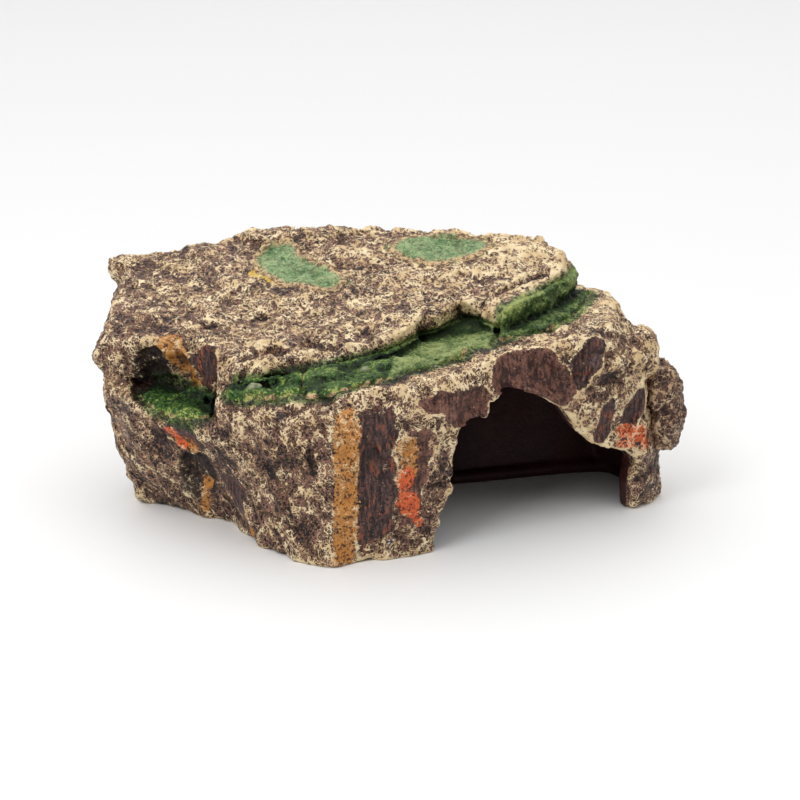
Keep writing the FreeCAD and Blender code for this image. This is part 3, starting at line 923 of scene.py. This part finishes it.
class Shader:
    """A material's nodes. Lengths are in mm."""

    def __init__(self, name):
        self.material = bpy.data.materials.new(name)
        self.material.use_nodes = True
        self.tree = self.material.node_tree
        self.surface = self.tree.nodes["Principled BSDF"]
        coords = self.tree.nodes.new("ShaderNodeTexCoord").outputs["Object"]
        self.place = self.node(
            "VectorMath", {0: coords, "Scale": 1000}, "Vector", operation="SCALE"
        )

    def link(self, source, socket):
        if isinstance(source, bpy.types.NodeSocket):
            self.tree.links.new(source, socket)
        else:
            socket.default_value = source

    def node(self, kind, inputs, output=0, **settings):
        """A new node with its inputs by name or number, and one of its outputs."""
        node = self.tree.nodes.new("ShaderNode" + kind)
        for key, setting in settings.items():
            setattr(node, key, setting)
        for key, source in inputs.items():
            self.link(source, node.inputs[key])
        return node.outputs[output]

    def math(self, operation, a, b=0.0):
        return self.node("Math", {0: a, 1: b}, operation=operation)

    def times(self, a, b):
        return self.math("MULTIPLY", a, b)

    def total(self, *pairs, bias=0.0):
        """Sum of sockets times weights."""
        for source, weight in pairs:
            bias = self.node("Math", {0: source, 1: weight, 2: bias}, operation="MULTIPLY_ADD")
        return bias

    def step(self, low, high, value):
        """0 below low, 1 above high, and the other way round if low is over high."""
        return self.node(
            "MapRange", {"Value": value, "From Min": low, "From Max": high}, "Result",
            interpolation_type="SMOOTHSTEP",
        )

    def mix(self, share, a, b):
        """Colours."""
        return self.node("Mix", {"Factor": share, 6: a, 7: b}, 2, data_type="RGBA")

    def ramp(self, value, low, high, a, b):
        """Colour a where the value is at low, b where it is at high."""
        return self.mix(self.step(low, high, value), a, b)

    def blend(self, share, a, b):
        """Numbers."""
        return self.node("Mix", {0: share, 2: a, 3: b})

    def noise(self, size, detail=2.0, roughness=0.5, place=None, distortion=0.0):
        inputs = {"Vector": place or self.place, "Scale": 1 / size, "Detail": detail}
        inputs |= {"Roughness": roughness, "Distortion": distortion}
        return self.node("TexNoise", inputs, "Fac")

    def voronoi(self, size):
        """Distance to the nearest of scattered points."""
        return self.node("TexVoronoi", {"Vector": self.place, "Scale": 1 / size}, "Distance")

    def value(self, name):
        """An attribute of the mesh."""
        return self.node("Attribute", {}, "Fac", attribute_name=name)

    def finish(self, colour, roughness, height, depth, coat, coat_rough):
        bump = {"Strength": 1.0, "Distance": depth / 1000, "Height": height}
        surface = {
            "Base Color": colour, "Roughness": roughness, "Specular IOR Level": SPECULAR,
            "Coat Weight": coat, "Coat Roughness": coat_rough,
            "Normal": self.node("Bump", bump, "Normal"),
        }
        for key, source in surface.items():
            self.link(source, self.surface.inputs[key])
        return self.material


CREAM, SAND = srgb(248, 226, 184), srgb(218, 188, 142)
BROWN, PINK, DARK = srgb(116, 84, 66), srgb(150, 110, 92), srgb(30, 21, 19)
PURPLE, PLUM, STREAK_RED = srgb(112, 82, 76), srgb(26, 17, 18), srgb(150, 84, 58)
RUST, RUST_DARK = srgb(144, 100, 84), srgb(56, 33, 29)
OCHRE, OCHRE_DARK = srgb(208, 141, 68), srgb(96, 60, 38)
ORANGE, ORANGE_DARK = srgb(232, 104, 52), srgb(110, 54, 36)
YELLOW, CHIP = srgb(222, 188, 84), srgb(225, 222, 215)
MAROON, MAROON_DARK = srgb(74, 28, 27), srgb(30, 10, 10)
GREEN, GREEN_DARK, LIME = srgb(60, 98, 36), srgb(12, 27, 8), srgb(164, 170, 92)
FELT, FELT_DARK = srgb(146, 158, 100), srgb(62, 92, 44)
TEAL, TEAL_DARK = srgb(134, 158, 112), srgb(60, 100, 56)

# How much of each the dry brush has caught.
WALLS_CREAM, ROOF_CREAM, BOULDER_CREAM = -0.08, -0.08, -0.10


def fine_veins(s):
    """A net of thin ridges, finer than the mesh's own."""
    veins = []
    for size, width in ((3.2, 0.06), (1.8, 0.075)):
        contour = s.noise(size, 1.2, 0.5, distortion=0.35)
        away = s.math("ABSOLUTE", s.math("SUBTRACT", contour, 0.5))
        veins.append(s.step(width, 0.0, away))
    return s.math("MAXIMUM", veins[0], s.times(veins[1], 0.8))


def broken_faces(s, grain, blotch, pitting):
    """The scars' plum colour and the rusty one, both streaked along the height."""
    upright = {0: s.place, 1: (1.0, 1.0, 0.16)}
    stretch = s.node("VectorMath", upright, "Vector", operation="MULTIPLY")
    streak = s.noise(1.3, 3.0, 0.65, stretch)
    fleck = s.noise(1.6, 3.0, 0.7)
    plum = s.ramp(s.total((streak, 0.7), (grain, 0.3)), 0.36, 0.66, PLUM, PURPLE)
    plum = s.ramp(s.total((streak, 0.6), (blotch, 0.5)), 0.58, 0.70, plum, STREAK_RED)
    plum = s.ramp(fleck, 0.66, 0.74, plum, SAND)
    plum = s.ramp(pitting, 0.43, 0.36, plum, DARK)
    mottle = s.total((streak, 0.4), (grain, 0.3), (blotch, 0.3))
    rusty = s.ramp(mottle, 0.41, 0.60, RUST_DARK, RUST)
    rusty = s.ramp(fleck, 0.67, 0.76, rusty, SAND)
    return plum, s.ramp(pitting, 0.43, 0.35, rusty, DARK)


def dabbed(s, colour, crest, net, grain, blotch, pitting):
    """A colour with dabs of paint over it, dark in their holes and pale on their crests."""
    holes = s.step(0.46, 0.54, s.total((pitting, 0.7), (net, 0.12), (grain, 0.25)))
    caught = s.times(s.step(0.50, 0.60, crest), 0.65)
    edge = s.total((grain, 1.6), (blotch, 1.3), (net, 0.25), bias=-1.53)
    for mask, light, deep, cut in (
        ("ochre", OCHRE, OCHRE_DARK, 0.5),
        ("orange", ORANGE, ORANGE_DARK, 0.60),
        ("yellow", YELLOW, OCHRE, 0.60),
    ):
        tone = s.mix(caught, s.mix(holes, deep, light), CREAM)
        on = s.step(cut - 0.06, cut + 0.06, s.math("ADD", s.value(mask), edge))
        on = s.times(on, s.step(0.02, 0.2, s.value(mask)))
        colour = s.mix(s.times(on, 0.9), colour, tone)
    return colour


def stained(s, colour, crest, grain, blotch):
    """A colour with the green stain round the moss over it."""
    green = s.ramp(crest, 0.20, 0.62, GREEN_DARK, GREEN)
    green = s.ramp(crest, 0.55, 0.95, green, LIME)
    share = s.total((s.value("stain"), 0.85), (grain, 0.6), (blotch, 0.5), bias=-0.42)
    return s.mix(s.times(s.step(0.46, 0.80, share), 0.88), colour, green)


def rock_material(name, cream_bias, redness=0.0):
    """Dark stone, dry brushed with cream on its crests, with broken facets, dabs of paint and
    painted shade in its hollows.
    """
    s = Shader(name)
    fine_net = fine_veins(s)
    grain = s.noise(0.9, 3.0, 0.65)
    patch = s.noise(13.0, 3.0, 0.55)
    blotch = s.noise(5.0, 2.0, 0.5)
    speck = s.noise(0.45, 2.0, 0.6)
    pitting = s.noise(1.3, 3.0, 0.6)
    net, wear, shade = s.value("net"), s.value("wear"), s.value("shade")
    scar, rust = s.value("scar"), s.value("rust")
    rims = [s.times(m, s.math("SUBTRACT", 1.0, m)) for m in (scar, rust)]

    crest = s.total(
        (net, 0.30), (fine_net, 0.40), (grain, 0.55), (wear, 0.22), (patch, 0.65), (shade, 0.16),
        (s.value("brush_and_top_light"), 1.0), (rims[0], 0.45), (rims[1], 0.45), bias=-0.56 + cream_bias,
    )
    cream = s.step(0.39, 0.47, crest)
    pit = s.step(0.50, 0.43, s.total((pitting, 0.8), (crest, 0.35), (patch, 0.2), bias=-0.06))
    colour = s.ramp(blotch, 0.40, 0.62, BROWN, PINK)
    colour = s.ramp(grain, 0.24, 0.56, DARK, colour)
    colour = s.mix(pit, colour, DARK)
    hue = s.step(0.35, 0.65, s.noise(7.0, 2.0))
    colour = s.mix(cream, colour, s.mix(hue, CREAM, SAND))
    if redness:
        colour = s.mix(redness, colour, s.mix(cream, RUST_DARK, RUST))

    plum, rusty = broken_faces(s, grain, blotch, pitting)
    ragged = s.total((grain, 1.1), (blotch, 1.1), bias=-1.1)
    on_scar = s.step(0.44, 0.56, s.math("ADD", scar, ragged))
    colour = s.mix(on_scar, colour, plum)
    colour = s.ramp(s.math("ADD", rust, ragged), 0.44, 0.56, colour, rusty)
    # painted shade in the niche and under the left lip: the colour goes to DARK where the crests
    # are low
    recess_shade = s.times(s.value("recess_shade"), s.step(0.75, 0.45, crest))
    colour = s.mix(s.times(recess_shade, 0.85), colour, DARK)
    colour = dabbed(s, colour, crest, net, grain, blotch, pitting)
    colour = s.ramp(s.math("ADD", s.value("bare"), ragged), 0.4, 0.6, colour, CHIP)
    colour = stained(s, colour, crest, grain, blotch)

    # inside of the cave
    inner = s.step(0.35, 0.65, s.value("inner"))
    colour = s.mix(inner, colour, s.mix(patch, MAROON_DARK, MAROON))

    # painted shade in the deep hollows: the colour goes to DARK where the rock is most concave
    deep_shade = s.times(s.step(-0.15, -0.80, shade), 0.7)
    colour = s.mix(deep_shade, colour, DARK)

    rough = s.total((grain, 0.35), (cream, 0.12), (on_scar, -0.08), bias=0.34)
    rough = s.blend(inner, rough, 0.38)
    height = s.total((cream, 0.42), (grain, 0.55), (fine_net, 0.22), (speck, 0.18))
    return s.finish(colour, rough, height, 0.42, coat=0.12, coat_rough=0.28)


def moss_material(name, light, deep, bright, pale_light, pale_deep, under, fade):
    """Moss that thins out at its edges to the colours under it, with painted shade in its hollows.
    """
    s = Shader(name)
    grain = s.noise(0.8, 3.0, 0.7)
    blotch = s.noise(5.0, 3.0, 0.6)
    clump = s.noise(2.2, 2.0, 0.6)
    shade = s.value("shade")
    speck = s.voronoi(0.9)
    top, cover, pale = s.value("grain"), s.value("cover"), s.value("pale")
    # painted shade and light: the level falls in hollows and rises on bulges, through shade
    level = s.total(
        (top, 0.35), (grain, 1.0), (clump, 0.65), (blotch, 0.55), (shade, 0.30), bias=-0.86
    )
    colour = s.ramp(level, 0.26, 0.62, deep, light)
    colour = s.ramp(level, 0.58, 0.74, colour, bright)
    felt = s.ramp(level, 0.20, 0.62, pale_deep, pale_light)
    felt = s.ramp(s.total((grain, 0.7), (blotch, 0.3)), 0.60, 0.68, felt, SAND)
    colour = s.mix(s.times(pale, s.step(0.35, 0.60, blotch)), colour, felt)
    colour = s.mix(s.times(pale, 0.5), colour, felt)
    ragged = s.total((cover, 1.0), (grain, 1.0), (blotch, 1.0), bias=-1.0)
    bare = s.ramp(s.total((clump, 0.4), (grain, 0.6)), 0.46, 0.54, under[1], under[0])
    colour = s.ramp(ragged, fade[0], fade[1], colour, bare)
    # painted shade: the moss goes to its deep colour in the hollows
    colour = s.ramp(shade, -0.25, -0.95, colour, deep)
    rough = s.total((grain, 0.3), bias=0.48)
    height = s.total((grain, 0.8), (speck, -0.5), bias=0.5)
    return s.finish(colour, rough, height, 0.40, coat=0.06, coat_rough=0.45)


def pebble_material(name):
    s = Shader(name)
    patch = s.noise(2.5, 3.0, 0.6)
    speck = s.noise(0.5, 2.0, 0.6)
    colour = s.ramp(patch, 0.35, 0.65, srgb(96, 104, 74), srgb(150, 156, 118))
    colour = s.ramp(speck, 0.60, 0.72, colour, srgb(60, 62, 44))
    rough = s.total((speck, 0.3), bias=0.25)
    return s.finish(colour, rough, speck, 0.15, coat=0.3, coat_rough=0.2)


def finishes():
    """Every material, by its slot in the record."""
    return {
        "rock_walls": rock_material("rock_walls", WALLS_CREAM),
        "rock_roof": rock_material("rock_roof", ROOF_CREAM),
        "rock_boulder": rock_material("rock_boulder", BOULDER_CREAM, redness=0.5),
        "moss": moss_material(
            "moss", GREEN, GREEN_DARK, LIME, FELT, FELT_DARK, (SAND, BROWN), (0.46, 0.12)
        ),
        "moss_film": moss_material(
            "moss_film", TEAL, TEAL_DARK, srgb(166, 180, 130), TEAL, TEAL_DARK, (SAND, BROWN),
            (1.10, 0.30),
        ),
        "pebble": pebble_material("pebble"),
    }


# --- The rock in its pieces ---
ROCK_TRIANGLES = 304_000  # keeps each casting under 200,000
NET_HEIGHT, NET_LEVEL = 1.0, 0.45  # mm from pit to crest, and the share of it below the surface
MATERIALS = finishes()
points, faces = largest(*field.mesh(phi))
out = normals(points, faces)
inner = inner_share(points)
cover, _ = moss_cover(points)
calm = np.maximum(scoop_mask(points, "scar"), scoop_mask(points, "rust"))
patchy = F32(0.75) + F32(0.45) * noise(points, 16, 99)
lift = (relief(points) - F32(NET_LEVEL)) * F32(NET_HEIGHT) * patchy
lift += noise(points, 1.9, 44) * F32(0.16)
lift *= (1 - inner) * (1 - F32(0.6) * calm) * (1 - F32(0.8) * cover)
off_floor = smooth(0.2, 1.6, points[:, 2])
points += out * (lift * off_floor)[:, None]
points[:, 2] = np.maximum(points[:, 2], 0)

points, faces = thinned(points, faces, ROCK_TRIANGLES)
halves = split(points, faces, field.sample(owner, points))
for half, (name, node) in zip(halves, (("walls", "wall_shell"), ("roof", "roof_slab"))):
    slot_name = "rock_walls" if name == "walls" else "rock_roof"
    show(name, half[0], half[1], node, slot_name, seam=half[2], **rock_values(half[0], half[1]))


# --- Boulder ---
def local_field(name, margin, step):
    """A lattice round a CAD node."""
    points, _ = node_mesh(name)
    return Field(points.min(0) - margin, points.max(0) + margin, step)


block = local_field("side_boulder", 4, STONE_STEP)
stone = blurred(block.from_node("side_boulder"), 3, 2)
p = block.points(np.arange(stone.size))
q = warped(p, 9, 1.6, 8)
stone = stone - (
    facets(q, 10, 5, 0.16) + facets(q, 5, 25, 0.14) + F32(1.3) * (ridged(q, 6, 2, 67) - F32(0.72))
).reshape(stone.shape)
points, faces = largest(*block.mesh(stone))
out = normals(points, faces)
points += out * ((relief(points) - F32(NET_LEVEL)) * F32(0.7 * NET_HEIGHT))[:, None]
soft = blurred(stone, 2, 2)
wear = np.clip((block.sample(soft, points) - block.sample(stone, points)) / F32(0.5), -1, 1)
nil = np.zeros(len(points), F32)
nowhere = ("shade", "brush_and_top_light", "inner", "cover", "stain", "scar", "rust", "recess_shade", *DABS)
show("boulder", points, faces, "side_boulder", "rock_boulder", net=relief(points), wear=wear,
     **{name: nil for name in nowhere})



# --- Moss ---
def grains(p, size):
    """Distance to the middle of the nearest grain of moss, in grains."""
    return cells(warped(p, 3, 0.5, 6), size, 12)[0]


BURIED = 1.4  # mm that a skin's thin edge lies under the rock
SKIN_BACK = 1.3  # mm that its back lies under the rock
for name, (deep, size, height, pale) in MOSS_NODES.items():
    on_roof = name.startswith("roof")
    local = local_field(name, 5, SKIN_STEP)
    p = local.points(np.arange(int(np.prod(local.shape))))
    rock = field.sample(phi, p)
    distance, share = PADS[name].at(p)
    near = np.flatnonzero((np.abs(rock) < deep + 5) & (distance < 6))
    q, rock, distance, share = p[near], rock[near], distance[near], share[near]
    others = np.zeros(len(q), F32)
    for other in MOSS_NODES:
        if other != name and not on_roof:
            others = np.maximum(others, PADS[other].at(q)[1])
    grain = F32(height) * (F32(0.7) - grains(q, size)) + F32(0.8 * height) * noise(q, size * 3, 15)
    ragged = F32(0.30) * noise(q, 7, 33) + F32(0.22) * noise(q, 2.6, 37)
    if on_roof:
        spread = smooth(0.10, 0.40, share + F32(0.3) * ragged)
    else:
        spread = smooth(0.15, 0.75, share + others + ragged)
    reach = 4.2 if on_roof else 2.4  # mm past the CAD pad
    spread *= 1 - smooth(0.25 * reach, reach, distance)
    shell = rock - (F32(-BURIED) + spread * F32(deep + BURIED)) - grain * spread
    for at, along, radii in HOLES:
        axes = facet_axes((0, 0, 1), along)
        shell = smax(shell, -ellipsoid(q.T, at, axes, radii), 0.8)
    moss_phi = np.full(len(p), 3.0, F32)
    moss_phi[near] = np.maximum(np.maximum(shell, -(rock + F32(SKIN_BACK))), distance - F32(reach))
    points, faces = largest(*local.mesh(moss_phi.reshape(local.shape)))
    share = sum(pad.at(points)[1] for pad in PADS.values()) * (0.8 if on_roof else 1.0)
    hollow = field.sample(wide_blur, points) - field.sample(phi, points)
    show(name + "_skin", points, faces, name, "moss_film" if on_roof else "moss",
         grain=np.clip(1.1 - grains(points, size), 0, 1), cover=smooth(0.15, 0.8, share),
         shade=np.clip(hollow / F32(DEEP), -1, 1),
         pale=F32(pale) * smooth(0.3, 0.9, PADS[name].at(points)[1]))

# --- Pebbles ---
for name in ("crevice_pebble_left", "crevice_pebble_centre"):
    local = local_field(name, 2.5, PEBBLE_STEP)
    stone = blurred(local.from_node(name, 4), 3, 2)
    p = local.points(np.arange(stone.size))
    stone = stone - F32(0.3) * noise(p, 2.2, 4).reshape(stone.shape) - F32(0.25)
    points, faces = largest(*local.mesh(stone))
    show(name + "_skin", points, faces, name, "pebble")

# --- Stage ---
TARGET = Vector((0, -0.005, 0.050))
DISTANCE, ELEVATION = 0.86, math.radians(19)
camera_data = bpy.data.cameras.new("camera")
camera_data.lens = 85
camera_data.shift_x, camera_data.shift_y = 0.01, 0.005
camera = bpy.data.objects.new("camera", camera_data)
back = Vector((0, -math.cos(ELEVATION), math.sin(ELEVATION)))
camera.location = TARGET + back * DISTANCE
camera.rotation_euler = back.to_track_quat("Z", "Y").to_euler()
bpy.context.scene.collection.objects.link(camera)
bpy.context.scene.camera = camera

floor_mesh = bpy.data.meshes.new("floor")
floor_mesh.from_pydata([(-3, -3, 0), (3, -3, 0), (3, 3, 0), (-3, 3, 0)], [], [(0, 1, 2, 3)])
floor = bpy.data.objects.new("floor", floor_mesh)
bpy.context.scene.collection.objects.link(floor)
floor_material = bpy.data.materials.new("floor")
floor_material.use_nodes = True
floor_surface = floor_material.node_tree.nodes["Principled BSDF"]
floor_surface.inputs["Base Color"].default_value = (0.9, 0.9, 0.9, 1)
floor_mesh.materials.append(floor_material)

world = bpy.data.worlds.new("world")
bpy.context.scene.world = world
world.use_nodes = True
background = world.node_tree.nodes["Background"]
background.inputs["Color"].default_value = (1, 1, 1, 1)
background.inputs["Strength"].default_value = 0.30


def area_light(name, at, aim, size, power):
    light = bpy.data.lights.new(name, "AREA")
    light.shape = "RECTANGLE"
    light.size, light.size_y = size
    light.energy = power
    obj = bpy.data.objects.new(name, light)
    obj.location = at
    obj.rotation_euler = (Vector(aim) - Vector(at)).to_track_quat("-Z", "Y").to_euler()
    bpy.context.scene.collection.objects.link(obj)


area_light("overhead", (0, 1.2, 2.4), (0, 1.2, 0), (6.5, 6.5), 150)
area_light("key", (-0.5, -0.7, 1.0), (0, 0, 0.05), (0.5, 0.5), 4.5)
bpy.context.scene.view_settings.view_transform = "Standard"
